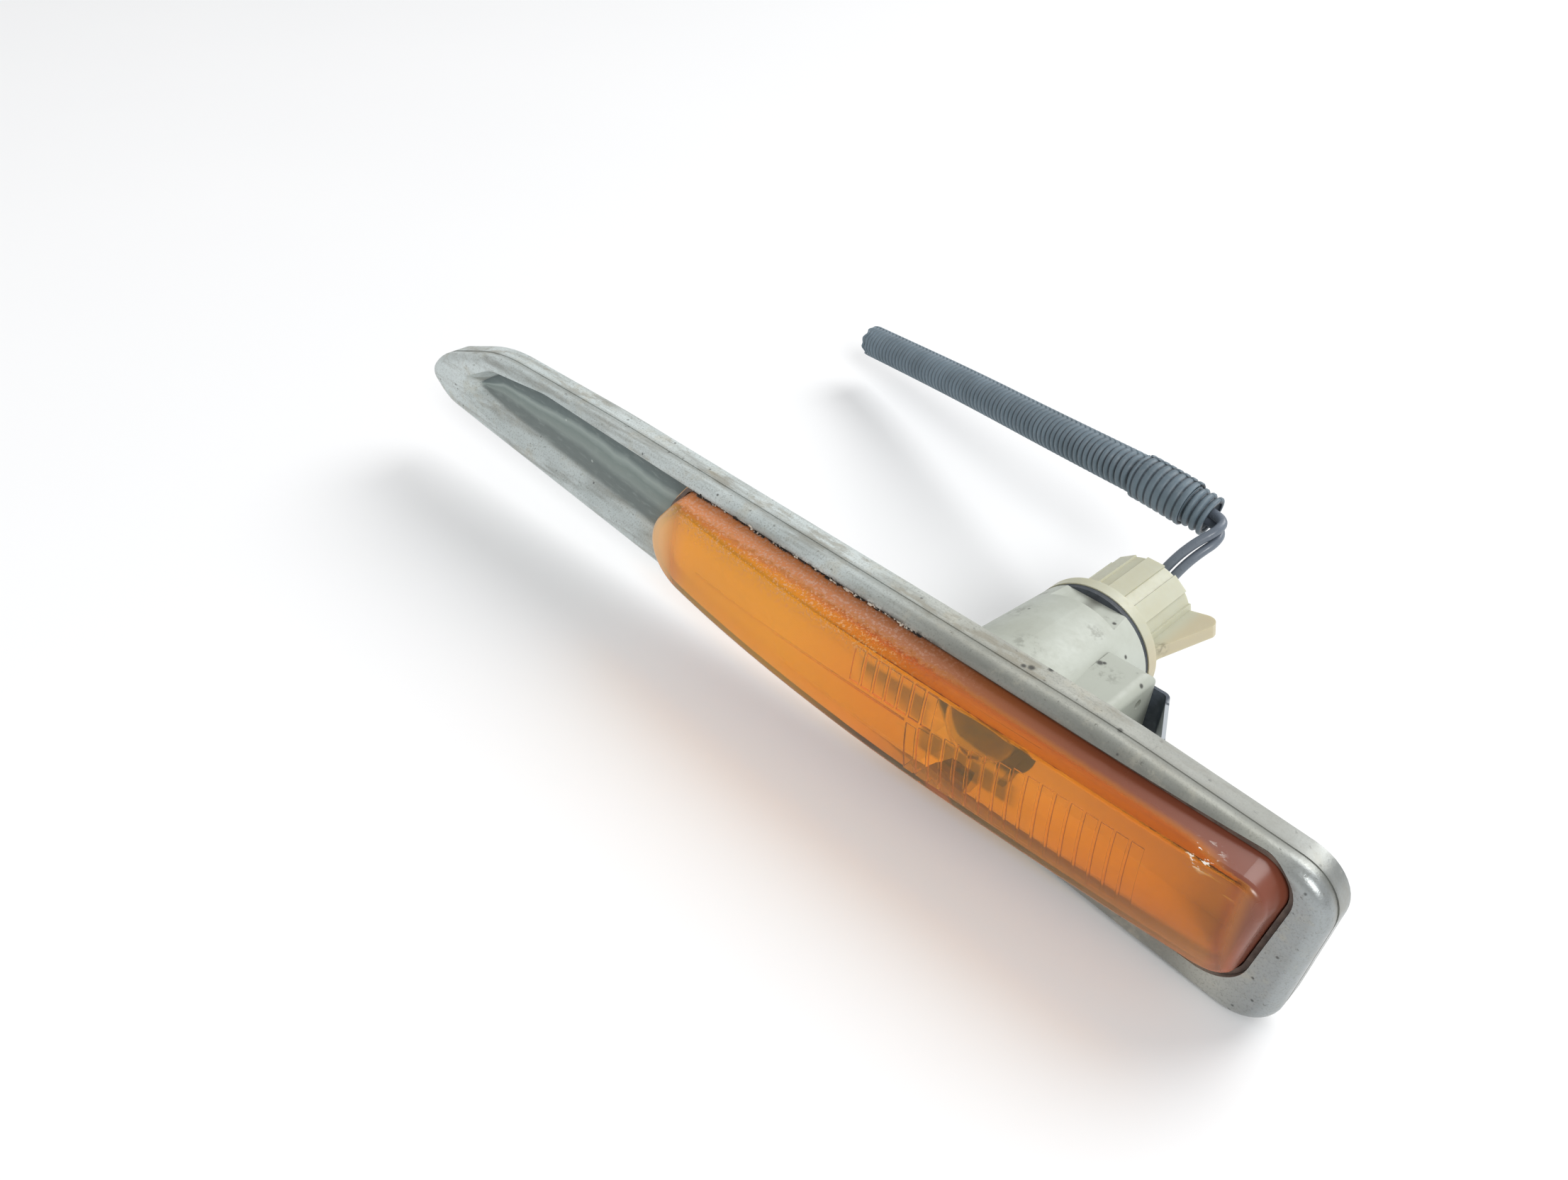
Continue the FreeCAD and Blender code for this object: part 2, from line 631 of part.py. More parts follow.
# Lead: soft plug in the holder, two wires, conduit and its wrap.
wire_plug = round_bar(WIRE_BAY_R - FIT, plug_y, rear_y)
wires = []
exit_run = [(BULB_X, plug_y, 0.0), (BULB_X, rear_y + WIRE_D, 0.0)]
route = exit_run + LEAD_POINTS + CONDUIT_POINTS
twist_run = len(LEAD_POINTS)
for side in (-1, 1):
    points = []
    for i, (x, y, z) in enumerate(route):
        twist = math.radians(90.0) * min(max(i - 1, 0) / twist_run, 1.0)
        half = side * WIRE_SPREAD / 2
        points.append((x + half * math.cos(twist), y, z - half * math.sin(twist)))
    path, radii = bent_path(points)
    print("wire radii", [round(r, 1) for r in radii], "length", round(path.Length, 1))
    wires.append(tube(path, WIRE_D / 2))
    print("wire volume ratio", wires[-1].Volume / (math.pi * WIRE_D ** 2 / 4 * path.Length))
wire_plug = wire_plug.cut(wires)

conduit_path, radii = bent_path(CONDUIT_POINTS)
print("conduit radii", [round(r, 1) for r in radii], "length", round(conduit_path.Length, 1))
outside = tube(conduit_path, CONDUIT_D / 2)
conduit = outside.cut(tube(conduit_path, CONDUIT_D / 2 - CONDUIT_WALL))
along = (Vector(*CONDUIT_POINTS[1]) - Vector(*CONDUIT_POINTS[0])).normalize()
wrap_start = Vector(*CONDUIT_POINTS[0]) + along * WRAP_FROM
wrap_zone = Part.makeCylinder(2 * CONDUIT_D, WRAP_LEN, wrap_start, along)
conduit_wrap = tube(conduit_path, CONDUIT_D / 2 + WRAP_WALL).common(wrap_zone).cut(outside)

PARTS = {
    "bezel": bezel,
    "lens": lens,
    "lens_seal": lens_seal,
    "housing": housing,
    "spring_clip": spring_clip,
    "holder_seal": holder_seal,
    "bulb_holder": bulb_holder,
    "terminal_live": terminal_live,
    "terminal_earth": terminal_earth,
    "bulb_cap": bulb_cap,
    "cap_insulator": cap_insulator,
    "bulb_contact": bulb_contact,
    "bulb_glass": bulb_glass,
    "bulb_stem": bulb_stem,
    "support_a": supports[0],
    "support_b": supports[1],
    "bulb_filament": bulb_filament,
    "wire_plug": wire_plug,
    "wire_a": wires[0],
    "wire_b": wires[1],
    "conduit": conduit,
    "conduit_wrap": conduit_wrap,
}

os.makedirs("parts", exist_ok=True)
for name, shape in PARTS.items():
    print(name, shape.ShapeType, len(shape.Solids), shape.isValid(), round(shape.Volume, 1))
    shape.exportStep("parts/" + name + ".step")
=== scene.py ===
from bisect import bisect_right
import json
import math
import random

import bmesh
import bpy
from mathutils import Matrix, Vector, noise


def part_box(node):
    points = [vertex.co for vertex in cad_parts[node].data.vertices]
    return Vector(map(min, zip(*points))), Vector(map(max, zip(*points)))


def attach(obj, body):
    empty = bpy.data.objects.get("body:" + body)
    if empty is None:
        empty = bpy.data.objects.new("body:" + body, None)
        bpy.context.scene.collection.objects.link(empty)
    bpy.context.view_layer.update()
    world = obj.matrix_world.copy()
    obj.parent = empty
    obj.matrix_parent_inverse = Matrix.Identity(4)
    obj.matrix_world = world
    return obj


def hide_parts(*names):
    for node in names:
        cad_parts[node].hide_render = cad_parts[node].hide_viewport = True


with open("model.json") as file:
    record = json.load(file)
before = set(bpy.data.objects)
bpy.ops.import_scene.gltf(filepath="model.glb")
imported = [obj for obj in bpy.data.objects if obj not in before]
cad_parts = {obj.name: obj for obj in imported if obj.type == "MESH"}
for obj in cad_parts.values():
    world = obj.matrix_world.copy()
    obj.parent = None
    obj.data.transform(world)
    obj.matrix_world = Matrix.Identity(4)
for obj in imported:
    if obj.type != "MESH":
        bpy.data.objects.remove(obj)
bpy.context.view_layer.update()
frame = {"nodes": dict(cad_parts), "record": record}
nodes = frame["nodes"]
scene = bpy.context.scene
scene.view_settings.view_transform = "Standard"

# Sizes are in millimetres, and the widths of the splits in radians.
MM = 0.001
WIRE_D = 2.4
WIRE_SPREAD = 2.8
WIRE_A_LENGTH = 200.9
WIRE_B_LENGTH = 198.5
CONDUIT_D = 10.6
CONDUIT_WALL = 1.1
CONDUIT_SPLIT = 0.05
CONDUIT_JAG = 2.2
WRAP_FROM = 6.0
WRAP_LEN = 15.0
WRAP_WALL = 0.7
WRAP_SKIN_SHARE = 0.9
WRAP_SPLIT = 0.12
WRAP_JAG = 0.4
RIDGE_PITCH = 2.05
RIDGE_RISE = 0.85
WRAP_RISE = 0.35
FLUTE_PITCH = 3.25

# The lead's course from the bulb holder's rear, in millimetres.
HOLDER_POINTS = [(60.0, 55.3, 0.0), (60.0, 64.7, 0.0)]
LEAD_POINTS = [
    (60.8, 67.8, 5.2),
    (62.6, 70.4, 10.2),
    (64.6, 73.2, 13.8),
    (66.6, 76.6, 16.2),
    (66.2, 80.4, 17.2),
]
CONDUIT_POINTS = [
    (61.8, 82.8, 16.8),
    (46.0, 82.6, 19.0),
    (26.0, 88.4, 15.8),
    (0.0, 98.6, 10.0),
    (-30.0, 109.8, 3.9),
    (-62.0, 121.8, -3.2),
    (-88.6, 129.2, -7.7),
]


# Camera

CAMERA_AT = (157.98, -170.19, 179.92)
RIGHT = (0.70287, 0.70993, 0.04435)
UP = (-0.45936, 0.40542, 0.79033)
BACK = (0.54310, -0.57587, 0.61107)
SENSOR_WIDTH = 36.0
FOCAL_LENGTH_PX = 1714.13
PICTURE_WIDTH_PX = 2212.0
NEAREST_M = 0.01

camera_data = bpy.data.cameras.new("camera")
camera_data.sensor_fit = "HORIZONTAL"
camera_data.sensor_width = SENSOR_WIDTH
camera_data.lens = SENSOR_WIDTH * FOCAL_LENGTH_PX / PICTURE_WIDTH_PX
camera_data.clip_start = NEAREST_M
camera = bpy.data.objects.new("camera", camera_data)
turn = Matrix((RIGHT, UP, BACK)).transposed().to_4x4()
camera.matrix_world = Matrix.Translation(Vector(CAMERA_AT) * MM) @ turn
scene.collection.objects.link(camera)
scene.camera = camera


# Surfaces

SPOT_CORE = 0.3
CORNER_SAMPLES = 6

# Places of the colours among a mixing node's sockets.
MIX_COLOUR_A = 6
MIX_COLOUR_B = 7
MIX_COLOUR_OUT = 2


class Nodes:
    """Short calls for building one material's nodes."""

    def __init__(self, name):
        self.material = bpy.data.materials.new(name)
        self.material.use_nodes = True
        self.tree = self.material.node_tree
        self.tree.nodes.clear()
        self.output = self.add("ShaderNodeOutputMaterial")
        self.shader = self.add("ShaderNodeBsdfPrincipled")
        self.link(self.shader.outputs[0], self.output.inputs["Surface"])
        self.place = self.add("ShaderNodeTexCoord").outputs["Object"]

    def add(self, kind, **settings):
        node = self.tree.nodes.new(kind)
        for key, value in settings.items():
            setattr(node, key, value)
        return node

    def link(self, source, target):
        self.tree.links.new(source, target)

    def feed(self, socket, value):
        """A socket takes another socket's output, or a plain value."""
        if isinstance(value, bpy.types.NodeSocket):
            self.link(value, socket)
        else:
            socket.default_value = value

    def set(self, **values):
        """Shader inputs by name, with _ for a space."""
        for key, value in values.items():
            self.feed(self.shader.inputs[key.replace("_", " ")], value)

    def noise(self, scale, detail=3.0, rough=0.5, stretch=None):
        node = self.add("ShaderNodeTexNoise")
        node.inputs["Scale"].default_value = scale
        node.inputs["Detail"].default_value = detail
        node.inputs["Roughness"].default_value = rough
        self.link(self.stretched(stretch), node.inputs["Vector"])
        return node.outputs["Fac"]

    def cells(self, scale):
        """Distance to the nearest of many scattered points."""
        node = self.add("ShaderNodeTexVoronoi")
        node.inputs["Scale"].default_value = scale
        self.link(self.place, node.inputs["Vector"])
        return node.outputs["Distance"]

    def stretched(self, stretch):
        if stretch is None:
            return self.place
        node = self.add("ShaderNodeMapping")
        node.inputs["Scale"].default_value = stretch
        self.link(self.place, node.inputs["Vector"])
        return node.outputs[0]

    def axis(self, name):
        node = self.add("ShaderNodeSeparateXYZ")
        self.link(self.place, node.inputs[0])
        return node.outputs[name]

    def math(self, kind, a, b=0.0):
        node = self.add("ShaderNodeMath", operation=kind)
        self.feed(node.inputs[0], a)
        self.feed(node.inputs[1], b)
        return node.outputs[0]

    def plus(self, a, b):
        return self.math("ADD", a, b)

    def minus(self, a, b):
        return self.math("SUBTRACT", a, b)

    def times(self, value, *others):
        """Product of all the values."""
        for other in others:
            value = self.math("MULTIPLY", value, other)
        return value

    def most(self, value, *others):
        """Largest of the values."""
        for other in others:
            value = self.math("MAXIMUM", value, other)
        return value

    def mapped(self, kind, *numbers):
        """Value taken from one range to another."""
        node = self.add("ShaderNodeMapRange", interpolation_type=kind)
        for key, number in zip(("Value", "From Min", "From Max", "To Min", "To Max"), numbers):
            self.feed(node.inputs[key], number)
        return node.outputs[0]

    def band(self, value, low, high, to_low=0.0, to_high=1.0):
        """Value eased from low to high."""
        return self.mapped("SMOOTHSTEP", value, low, high, to_low, to_high)

    def line(self, value, low, high, to_low, to_high):
        """Value on a straight slope between two points, level beyond them."""
        return self.mapped("LINEAR", value, low, high, to_low, to_high)

    def ramp(self, value, stops):
        """Colour read off a scale of stops."""
        node = self.add("ShaderNodeValToRGB")
        points = node.color_ramp.elements
        while len(points) < len(stops):
            points.new(0.5)
        for point, (at, colour) in zip(points, stops):
            point.position = at
            point.color = (*colour, 1.0)
        self.feed(node.inputs[0], value)
        return node.outputs[0]

    def lamps_through(self, colour):
        """The shell lets the light of lamps through, tinted."""
        gate = self.add("ShaderNodeMixShader")
        pane = self.add("ShaderNodeBsdfTransparent")
        pane.inputs["Color"].default_value = colour
        self.link(self.add("ShaderNodeLightPath").outputs["Is Shadow Ray"], gate.inputs[0])
        self.link(self.shader.outputs[0], gate.inputs[1])
        self.link(pane.outputs[0], gate.inputs[2])
        self.link(gate.outputs[0], self.output.inputs["Surface"])

    def about(self, x, z, edge, full):
        """1 inside a round bar along the depth, fading to 0 at its edge."""
        right = self.minus(self.axis("X"), x)
        up = self.minus(self.axis("Z"), z)
        square = self.plus(self.times(right, right), self.times(up, up))
        return self.band(self.math("SQRT", square), edge, full)

    def near(self, spot, reach):
        """1 in a spot's core, fading to 0 at its reach."""
        node = self.add("ShaderNodeVectorMath", operation="DISTANCE")
        self.link(self.place, node.inputs[0])
        node.inputs[1].default_value = spot
        return self.band(node.outputs["Value"], reach, reach * SPOT_CORE)

    def spots(self, marks):
        """1 at each of a list of spots, given in millimetres with their reach."""
        total = 0.0
        for x, y, z, reach in marks:
            total = self.most(total, self.near((x * MM, y * MM, z * MM), reach * MM))
        return total

    def mix(self, amount, a, b):
        """Colour between two colours."""
        node = self.add("ShaderNodeMix", data_type="RGBA")
        self.feed(node.inputs["Factor"], amount)
        for socket, colour in ((MIX_COLOUR_A, a), (MIX_COLOUR_B, b)):
            if isinstance(colour, tuple):
                colour = (*colour, 1.0)
            self.feed(node.inputs[socket], colour)
        return node.outputs[MIX_COLOUR_OUT]

    def over(self, base, mask, share, colour):
        """Base with a share of a colour laid over it inside a mask."""
        return self.mix(self.times(mask, share), base, colour)

    def corners(self, distance, open_from, closed_from):
        """1 in corners that other surfaces close in on, where shade is painted."""
        node = self.add("ShaderNodeAmbientOcclusion", samples=CORNER_SAMPLES)
        node.inputs["Distance"].default_value = distance
        return self.band(node.outputs["AO"], open_from, closed_from)

    def facing(self, axis):
        """How far the surface looks along one axis."""
        normal = self.add("ShaderNodeNewGeometry").outputs["Normal"]
        node = self.add("ShaderNodeSeparateXYZ")
        self.link(normal, node.inputs[0])
        return node.outputs[axis]

    def bump(self, height, distance, strength):
        node = self.add("ShaderNodeBump")
        node.inputs["Strength"].default_value = strength
        node.inputs["Distance"].default_value = distance
        self.link(height, node.inputs["Height"])
        last = self.shader.inputs["Normal"].links
        if last:
            self.link(last[0].from_socket, node.inputs["Normal"])
        self.link(node.outputs[0], self.shader.inputs["Normal"])


def linear(red, green, blue):
    """Colour given as it looks on screen, 0 to 255."""
    def curve(c):
        c = c / 255.0
        return c / 12.92 if c <= 0.04045 else ((c + 0.055) / 1.055) ** 2.4
    return (curve(red), curve(green), curve(blue))


# Specks and smudges, as x, y, z and reach in millimetres.
RAIL_SPECKS = [
    (71.6, -0.2, 22.5, 0.9),
    (68.6, -2.7, 22.5, 1.1),
    (67.2, -3.4, 22.4, 0.9),
    (90.4, -4.4, 22.2, 0.8),
]
HOUSING_SPECKS = [
    (72.1, 19.8, 13.0, 1.1),
    (72.8, 20.4, 13.0, 0.7),
    (73.2, 29.3, 9.8, 0.7),
    (67.3, 32.3, 14.0, 0.7),
    (81.8, 20.9, 12.2, 0.8),
]
HOUSING_SMUDGES = [
    (65.8, 33.2, 14.0, 2.0),
    (48.9, 32.9, 11.8, 3.4),
    (67.0, 24.9, 15.2, 3.6),
    (61.0, 8.0, 17.8, 5.0),
    (75.0, 18.0, 13.0, 4.5),
    (51.0, 20.0, 14.5, 5.0),
]
NYLON_SMUDGES = [
    (74.8, 44.0, 4.9, 2.6),
    (54.0, 37.0, 14.0, 1.6),
]

# Rows of flutes inside the lens, as the first flute, both ends, foot and top in millimetres.
LOWER_FLUTES = (51.0, 53.0, 80.0, -0.5, 6.8)
UPPER_FLUTES = (35.0, 36.0, 57.5, 6.2, 13.8)

LENS_IOR = 1.49
LENS_DENSITY = 110.0
GLASS_IOR = 1.5


def plating_tone_and_shade(m, x, y):
    """Greys of the plating: warm by the bulb, cool at the nose, with painted shade on the front face
    beside the lens.
    """
    cloud = m.band(m.noise(45.0, 6.0, 0.62), 0.32, 0.68)
    warm = m.mix(cloud, linear(162, 163, 154), linear(184, 185, 176))
    cool = m.mix(cloud, linear(192, 201, 200), linear(206, 214, 213))
    grey = m.mix(m.band(x, 0.060, 0.012), warm, cool)
    grey = m.mix(m.band(x, 0.119, 0.134), grey, linear(156, 161, 162))
    # Painted shade: the bezel's front face beside the lens is darkened.
    front_face_shade = m.times(m.band(y, -0.0060, -0.0084), m.band(x, 0.030, 0.062), m.band(x, 0.124, 0.112))
    return m.over(grey, front_face_shade, 0.85, linear(122, 124, 118))


def plating_wear(m, grey, x, blotch, fine, pits):
    """Streaks, blotches, pits and dark specks in the plating."""
    streak = m.band(m.noise(420.0, 4.0, 0.6, (0.10, 1.0, 1.0)), 0.42, 0.72)
    along = m.band(x, 0.125, 0.110, 0.20, 0.72)
    grey = m.over(grey, streak, along, linear(146, 148, 142))
    grey = m.over(grey, m.band(blotch, 0.50, 0.72), 0.5, linear(184, 180, 164))
    grey = m.over(grey, m.band(fine, 0.48, 0.72), 0.5, linear(122, 124, 117))
    grey = m.over(grey, pits, 0.7, linear(92, 92, 86))
    specks = m.times(m.band(m.cells(300.0), 0.14, 0.05), m.band(m.noise(95.0, 3.0), 0.44, 0.52))
    return m.over(grey, specks, 0.75, linear(58, 58, 56))


def plating_stains_and_shade(m, grey, x, y, z, outer):
    """Stains on the outer rim, specks on the rail, grime along the gap above the lens, and painted
    shade: the outer rim darker towards the wide end and a dark line along the step.
    """
    brown = m.band(m.noise(240.0, 5.0, 0.7, (0.35, 1.0, 1.0)), 0.50, 0.64)
    brown = m.times(brown, outer, m.band(y, -0.0003, -0.0010))
    grey = m.over(grey, brown, 0.5, linear(132, 124, 106))
    # Painted shade: the outer rim darker towards the wide end, against the window's glare there.
    far = m.times(outer, m.band(x, 0.075, 0.105))
    grey = m.over(grey, far, 0.6, linear(150, 152, 148))
    grey = m.over(grey, m.spots(RAIL_SPECKS), 0.85, linear(46, 46, 44))
    grime = m.times(m.band(z, 0.0212, 0.0198), m.band(z, 0.0185, 0.0192), m.band(y, -0.0070, -0.0078))
    grime = m.times(grime, m.band(x, 0.056, 0.046), m.band(x, -0.030, -0.022))
    grime = m.times(grime, m.band(m.noise(420.0, 4.0, 0.65), 0.42, 0.52))
    grey = m.over(grey, grime, 0.85, linear(48, 44, 40))
    # Painted shade: a soft dark line along the step in the bezel's side.
    step_shade = m.times(m.band(y, -0.0066, -0.0052), m.band(y, -0.0034, -0.0046))
    return m.over(grey, step_shade, 0.45, linear(112, 113, 106))


def nose_groove(m, x, y, z):
    """Colours of the lanes along the groove in the nose, and a mask of where the groove is."""
    top = m.plus(m.line(x, -0.1236, -0.111, 0.008, 0.0156), m.line(x, -0.111, -0.086, 0.0, 0.0044))
    low = m.plus(m.line(x, -0.1236, -0.110, 0.008, 0.0061), m.line(x, -0.110, -0.0365, 0.0, -0.0069))
    wide = m.most(m.minus(top, low), 0.001)
    across = m.math("DIVIDE", m.minus(z, low), wide)
    across = m.plus(across, m.band(m.noise(60.0, 3.0), 0.2, 0.8, -0.05, 0.05))
    lanes = m.ramp(across, (
        (0.00, linear(114, 122, 120)),
        (0.22, linear(108, 117, 115)),
        (0.34, linear(134, 144, 140)),
        (0.50, linear(122, 134, 130)),
        (0.60, linear(150, 161, 157)),
        (0.70, linear(104, 116, 115)),
        (1.00, linear(96, 107, 107)),
    ))
    scuff = m.band(m.noise(800.0, 3.0, 0.6, (0.3, 1, 1)), 0.5, 0.75)
    lanes = m.over(lanes, scuff, 0.4, linear(150, 160, 155))
    grit = m.times(m.band(m.cells(170.0), 0.10, 0.05), m.band(m.noise(70.0, 2.0), 0.48, 0.56))
    lanes = m.over(lanes, grit, 0.8, linear(205, 212, 206))
    groove = m.times(m.band(across, -0.16, -0.02), m.band(across, 1.10, 1.06))
    groove = m.times(groove, m.band(y, -0.0062, -0.0051), m.band(y, -0.0036, -0.0046))
    groove = m.times(groove, m.band(x, -0.024, -0.026), m.band(x, -0.1275, -0.1245))
    return lanes, groove


def bezel_plating():
    m = Nodes("bezel_plating")
    x, y, z = (m.axis(name) for name in "XYZ")
    blotch = m.noise(170.0, 6.0, 0.68)
    fine = m.noise(2300.0, 3.0, 0.65)
    pits = m.band(m.noise(700.0, 4.0, 0.7), 0.62, 0.72)
    outer = m.band(y, -0.0075, -0.0045)
    corner = m.band(x, 0.121, 0.134)
    dulled = m.times(outer, m.minus(1.0, corner))
    grey = plating_tone_and_shade(m, x, y)
    grey = plating_wear(m, grey, x, blotch, fine, pits)
    grey = plating_stains_and_shade(m, grey, x, y, z, outer)
    lanes, groove = nose_groove(m, x, y, z)
    m.set(Base_Color=m.mix(groove, grey, lanes))
    shine = m.times(m.band(pits, 0.0, 1.0, 1.0, 0.4), m.band(corner, 0.0, 1.0, 0.42, 0.66))
    shine = m.times(shine, m.band(dulled, 0.0, 1.0, 1.0, 0.25))
    m.set(Metallic=m.times(shine, m.minus(1.0, groove)))
    rough = m.minus(m.band(blotch, 0.3, 0.75, 0.38, 0.56), m.times(corner, 0.12))
    rough = m.plus(rough, m.times(dulled, 0.14))
    m.set(Roughness=m.plus(rough, m.times(groove, 0.12)))
    m.bump(m.minus(fine, m.times(pits, 0.8)), 0.00006, 0.5)
    m.bump(m.noise(40.0, 2.0), 0.0006, 0.2)
    return m.material


def flute_shade(m, row):
    """Painted shade: dark bars between the ribs of one row of flutes, for the dark seen through them.
    """
    start, x_from, x_to, z_from, z_to = (size * MM for size in row)
    x, z = m.axis("X"), m.axis("Z")
    phase = m.math("FRACT", m.math("DIVIDE", m.minus(x, start), FLUTE_PITCH * MM))
    bars = m.times(m.band(phase, 0.06, 0.22), m.band(phase, 0.94, 0.78))
    wide = m.times(m.band(x, x_from, x_from + 0.003), m.band(x, x_to, x_to - 0.004))
    high = m.times(m.band(z, z_from, z_from + 0.0014), m.band(z, z_to, z_to - 0.0014))
    return m.times(bars, wide, high)


def lens_brim(m, x, z, grain, left):
    """How far the lens is dulled along its upper edge, its ends and its walls, and so where it is
    painted with shade.
    """
    y = m.axis("Y")
    wall = m.band(m.math("ABSOLUTE", m.facing("Y")), 0.92, 0.35)
    ends = m.most(m.band(x, 0.1190, 0.1240), m.band(x, -0.022, -0.030), m.band(z, 0.0140, 0.0165))
    streaky = m.minus(m.noise(600.0, 5.0, 0.7), 0.5)
    streaky = m.times(streaky, m.band(x, 0.075, 0.045, 0.001, 0.006))
    fresh = m.band(m.plus(y, streaky), -0.0108, -0.0160, 0.0, 0.85)
    fresh = m.times(fresh, m.band(x, 0.124, 0.110))
    wall = m.times(wall, m.band(ends, 0.0, 1.0, 0.15, 1.0), m.minus(1.0, fresh))
    ragged = m.times(m.minus(grain, 0.5), m.band(x, 0.06, 0.01, 0.0, 0.006))
    height = m.minus(m.plus(z, ragged), m.times(left, 0.0040))
    brim = m.most(m.band(height, 0.0152, 0.0200), m.band(x, 0.1195, 0.1275))
    return m.most(wall, m.times(brim, 0.9))


def lens_front(m, x, haze, left, pale):
    """Amber of the lens's front, with painted shade in bars where its flutes are."""
    front = m.mix(m.band(haze, 0.3, 0.7), (1.0, 0.63, 0.045), (1.0, 0.58, 0.035))
    front = m.mix(left, front, (1.0, 0.57, 0.015))
    front = m.mix(m.band(x, 0.070, 0.110), front, (0.86, 0.46, 0.018))
    front = m.over(front, pale, 0.8, linear(236, 186, 140))
    shade = m.most(flute_shade(m, LOWER_FLUTES), flute_shade(m, UPPER_FLUTES))
    within = m.band(m.axis("Y"), -0.0170, -0.0164)
    return m.over(front, m.times(shade, within), 0.9, (0.09, 0.06, 0.04))


def lens_side_shade(m, x):
    """Painted shade: browns of the lens's edge and walls for the dark seen through them, darker
    towards the wide end.
    """
    return m.ramp(m.line(x, -0.030, 0.120, 0.0, 1.0), (
        (0.00, linear(220, 146, 96)),
        (0.20, linear(198, 134, 92)),
        (0.46, linear(168, 110, 76)),
        (0.64, linear(150, 88, 52)),
        (0.80, linear(132, 74, 50)),
        (1.00, linear(124, 68, 50)),
    ))


def amber_lens():
    m = Nodes("amber_lens")
    x, z = m.axis("X"), m.axis("Z")
    haze = m.noise(60.0, 5.0, 0.6)
    grain = m.noise(1500.0, 4.0, 0.7)
    hair = m.band(m.noise(1100.0, 2.0, 0.5, (0.05, 1.0, 1.0)), 0.67, 0.72)
    hair = m.times(hair, m.band(m.noise(130.0, 2.0), 0.52, 0.62))
    left = m.band(x, 0.060, 0.010)
    pale = m.band(x, -0.018, -0.032)
    low = m.band(m.facing("Z"), -0.12, -0.45)
    soil = m.times(m.band(z, 0.0115, 0.0175), m.band(x, 0.070, 0.03), m.band(grain, 0.50, 0.60))
    chip = m.near((0.1155, -0.0150, 0.0172), 0.0045)
    chip = m.times(chip, m.band(m.noise(900.0, 3.0, 0.6, (0.5, 1.0, 1.0)), 0.54, 0.60))
    brim = lens_brim(m, x, z, grain, left)
    # Painted shade with dulling: the lens's edge and walls turn orange, then brown, for the dark seen
    # through them.
    brim_half_shade = m.mix(left, linear(222, 146, 58), linear(242, 172, 80))
    tint = m.mix(m.band(brim, 0.0, 0.45), lens_front(m, x, haze, left, pale), brim_half_shade)
    tint = m.mix(m.band(brim, 0.35, 0.95), tint, lens_side_shade(m, x))
    mottle = m.times(m.band(grain, 0.56, 0.44), left, m.band(brim, 0.5, 1.0))
    tint = m.over(tint, mottle, 0.6, linear(206, 124, 66))
    tint = m.over(tint, soil, 0.65, linear(208, 164, 142))
    # Painted shade: the rounding at the lens's lower edge is dark orange-brown.
    tint = m.over(tint, low, 0.8, linear(196, 92, 42))
    m.set(Base_Color=m.mix(chip, tint, linear(235, 232, 226)))
    dull = m.most(m.band(brim, 0.15, 1.0, 0.0, 0.82), m.times(soil, 0.6), m.times(hair, 0.3))
    dull = m.most(dull, m.times(left, 0.34), m.times(low, 0.6), m.times(pale, 0.72), chip)
    m.set(Transmission_Weight=m.band(dull, 0.0, 1.0, 0.96, 0.0))
    m.set(Roughness=m.plus(m.band(haze, 0.3, 0.7, 0.02, 0.06), m.times(dull, 0.3)))
    m.set(IOR=LENS_IOR)
    m.bump(m.noise(200.0, 2.0), 0.0002, 0.12)
    m.lamps_through((0.96, 0.76, 0.30, 1.0))
    body = m.add("ShaderNodeVolumeAbsorption")
    body.inputs["Color"].default_value = (0.985, 0.72, 0.0, 1.0)
    body.inputs["Density"].default_value = LENS_DENSITY
    m.link(body.outputs[0], m.output.inputs["Volume"])
    return m.material


def grey_housing():
    m = Nodes("grey_housing")
    y = m.axis("Y")
    cloud = m.noise(60.0, 5.0, 0.6)
    drag = m.noise(260.0, 4.0, 0.6, (1.0, 0.25, 1.0))
    fine = m.noise(900.0, 3.0, 0.6)
    base = m.mix(m.band(cloud, 0.35, 0.7), linear(184, 189, 180), linear(170, 174, 163))
    base = m.over(base, m.band(drag, 0.55, 0.78), 0.5, linear(160, 163, 152))
    specks = m.times(m.band(m.cells(210.0), 0.11, 0.05), m.band(m.noise(120.0, 2.0), 0.55, 0.62))
    base = m.over(base, specks, 0.8, linear(62, 62, 58))
    boss = m.times(m.band(m.axis("X"), 0.068, 0.072), m.band(m.axis("Z"), 0.0150, 0.0128))
    base = m.over(base, boss, m.band(y, 0.030, 0.022, 0.0, 0.7), linear(164, 168, 157))
    smear = m.times(m.spots(HOUSING_SMUDGES), m.band(m.noise(420.0, 5.0, 0.7), 0.46, 0.62))
    base = m.over(base, smear, 0.55, linear(122, 124, 114))
    base = m.over(base, m.spots(HOUSING_SPECKS), 0.9, linear(48, 48, 45))
    # Painted shade: the housing is darker in its corners.
    base = m.over(base, m.corners(0.003, 0.80, 0.40), 0.45, linear(128, 130, 120))
    inside = m.band(y, 0.0012, 0.0002)
    base = m.mix(inside, base, linear(246, 244, 238))
    # Painted shade: the inside of the bulb's bore is dark.
    bore_shade = m.times(m.about(0.060, 0.0, 0.0142, 0.0138), m.band(y, 0.0006, 0.0016))
    m.set(Base_Color=m.mix(bore_shade, base, linear(62, 56, 50)))
    m.set(Roughness=m.band(fine, 0.3, 0.7, 0.42, 0.58))
    m.bump(fine, 0.00006, 0.35)
    return m.material


